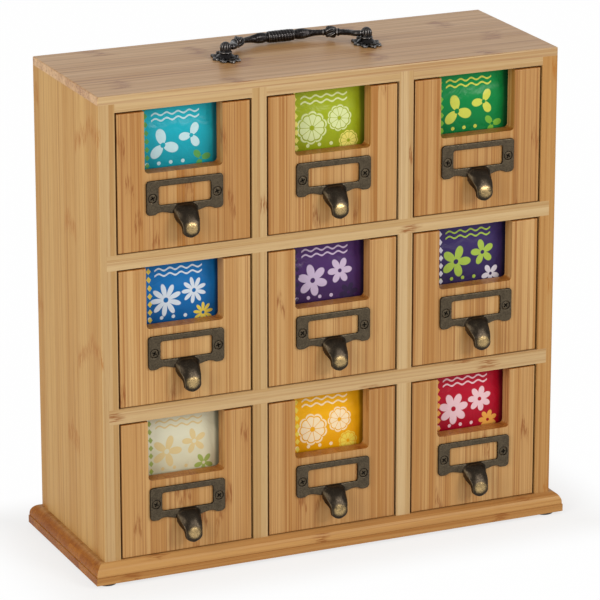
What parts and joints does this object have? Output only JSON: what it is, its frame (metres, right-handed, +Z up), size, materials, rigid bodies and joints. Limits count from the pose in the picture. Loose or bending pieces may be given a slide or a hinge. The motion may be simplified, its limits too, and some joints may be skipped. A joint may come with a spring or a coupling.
{
  "type": "tabletop drawer chest",
  "caption": "Tabletop tea chest of small bamboo drawers in a square grid, each with a finger notch and a cast label pull, on a moulded base, with a swinging metal handle on top.",
  "frame": {"origin": "middle of the whole object's footprint, pulls included, on the surface it stands on", "axes": "+X to the right seen from the front, +Y from the drawer fronts to the back, +Z up"},
  "size_m": [0.304, 0.1213, 0.3029],
  "materials": {
    "bamboo_casing": "clear satin lacquer over laminated bamboo",
    "bamboo_drawer": "clear satin lacquer over laminated bamboo, grain upright",
    "bamboo_thin_board": "plain sanded bamboo",
    "antique_bronze": "dark antique patina, brassy where worn",
    "dark_iron": "dark cast, satin",
    "foot_rubber": "matt",
    "screw_steel": "zinc plated",
    "sachet_teal": "glossy printed foil paper",
    "sachet_lime": "glossy printed foil paper",
    "sachet_green": "glossy printed foil paper",
    "sachet_blue": "glossy printed foil paper",
    "sachet_violet": "glossy printed foil paper",
    "sachet_indigo": "glossy printed foil paper",
    "sachet_cream": "glossy printed foil paper",
    "sachet_yellow": "glossy printed foil paper",
    "sachet_red": "glossy printed foil paper"
  },
  "bodies": {
    "chest": {"top_panel": "bamboo_casing", "side_left": "bamboo_casing", "side_right": "bamboo_casing", "shelf_upper": "bamboo_casing", "shelf_lower": "bamboo_casing", "divider_left": "bamboo_casing", "divider_right": "bamboo_casing", "back_panel": "bamboo_thin_board", "base_board": "bamboo_casing", "base_screws": "screw_steel", "feet": "foot_rubber", "handle_post_left": "dark_iron", "handle_post_right": "dark_iron", "handle_screws": "dark_iron"},
    "bail": {"handle_bail": "dark_iron"},
    "drawer_1": {"drawer_1_front": "bamboo_drawer", "drawer_1_walls": "bamboo_thin_board", "drawer_1_floor": "bamboo_thin_board", "drawer_1_pull": "antique_bronze", "drawer_1_sachets": "sachet_teal"},
    "drawer_2": {"drawer_2_front": "bamboo_drawer", "drawer_2_walls": "bamboo_thin_board", "drawer_2_floor": "bamboo_thin_board", "drawer_2_pull": "antique_bronze", "drawer_2_sachets": "sachet_lime"},
    "drawer_3": {"drawer_3_front": "bamboo_drawer", "drawer_3_walls": "bamboo_thin_board", "drawer_3_floor": "bamboo_thin_board", "drawer_3_pull": "antique_bronze", "drawer_3_sachets": "sachet_green"},
    "drawer_4": {"drawer_4_front": "bamboo_drawer", "drawer_4_walls": "bamboo_thin_board", "drawer_4_floor": "bamboo_thin_board", "drawer_4_pull": "antique_bronze", "drawer_4_sachets": "sachet_blue"},
    "drawer_5": {"drawer_5_front": "bamboo_drawer", "drawer_5_walls": "bamboo_thin_board", "drawer_5_floor": "bamboo_thin_board", "drawer_5_pull": "antique_bronze", "drawer_5_sachets": "sachet_violet"},
    "drawer_6": {"drawer_6_front": "bamboo_drawer", "drawer_6_walls": "bamboo_thin_board", "drawer_6_floor": "bamboo_thin_board", "drawer_6_pull": "antique_bronze", "drawer_6_sachets": "sachet_indigo"},
    "drawer_7": {"drawer_7_front": "bamboo_drawer", "drawer_7_walls": "bamboo_thin_board", "drawer_7_floor": "bamboo_thin_board", "drawer_7_pull": "antique_bronze", "drawer_7_sachets": "sachet_cream"},
    "drawer_8": {"drawer_8_front": "bamboo_drawer", "drawer_8_walls": "bamboo_thin_board", "drawer_8_floor": "bamboo_thin_board", "drawer_8_pull": "antique_bronze", "drawer_8_sachets": "sachet_yellow"},
    "drawer_9": {"drawer_9_front": "bamboo_drawer", "drawer_9_walls": "bamboo_thin_board", "drawer_9_floor": "bamboo_thin_board", "drawer_9_pull": "antique_bronze", "drawer_9_sachets": "sachet_red"}
  },
  "joints": [
    {"name": "bail_hinge", "type": "hinge", "parent": "chest", "child": "bail", "pos_m": [0, 0.00315, 0.2995], "axis": [1, 0, 0], "range_deg": [0, 192.92]},
    {"name": "drawer_1_slide", "type": "slide", "parent": "chest", "child": "drawer_1", "axis": [0, -1, 0], "range_m": [0, 0.0835]},
    {"name": "drawer_2_slide", "type": "slide", "parent": "chest", "child": "drawer_2", "axis": [0, -1, 0], "range_m": [0, 0.0835]},
    {"name": "drawer_3_slide", "type": "slide", "parent": "chest", "child": "drawer_3", "axis": [0, -1, 0], "range_m": [0, 0.0835]},
    {"name": "drawer_4_slide", "type": "slide", "parent": "chest", "child": "drawer_4", "axis": [0, -1, 0], "range_m": [0, 0.0835]},
    {"name": "drawer_5_slide", "type": "slide", "parent": "chest", "child": "drawer_5", "axis": [0, -1, 0], "range_m": [0, 0.0835]},
    {"name": "drawer_6_slide", "type": "slide", "parent": "chest", "child": "drawer_6", "axis": [0, -1, 0], "range_m": [0, 0.0835]},
    {"name": "drawer_7_slide", "type": "slide", "parent": "chest", "child": "drawer_7", "axis": [0, -1, 0], "range_m": [0, 0.0835]},
    {"name": "drawer_8_slide", "type": "slide", "parent": "chest", "child": "drawer_8", "axis": [0, -1, 0], "range_m": [0, 0.0835]},
    {"name": "drawer_9_slide", "type": "slide", "parent": "chest", "child": "drawer_9", "axis": [0, -1, 0], "range_m": [0, 0.0835]}
  ]
}
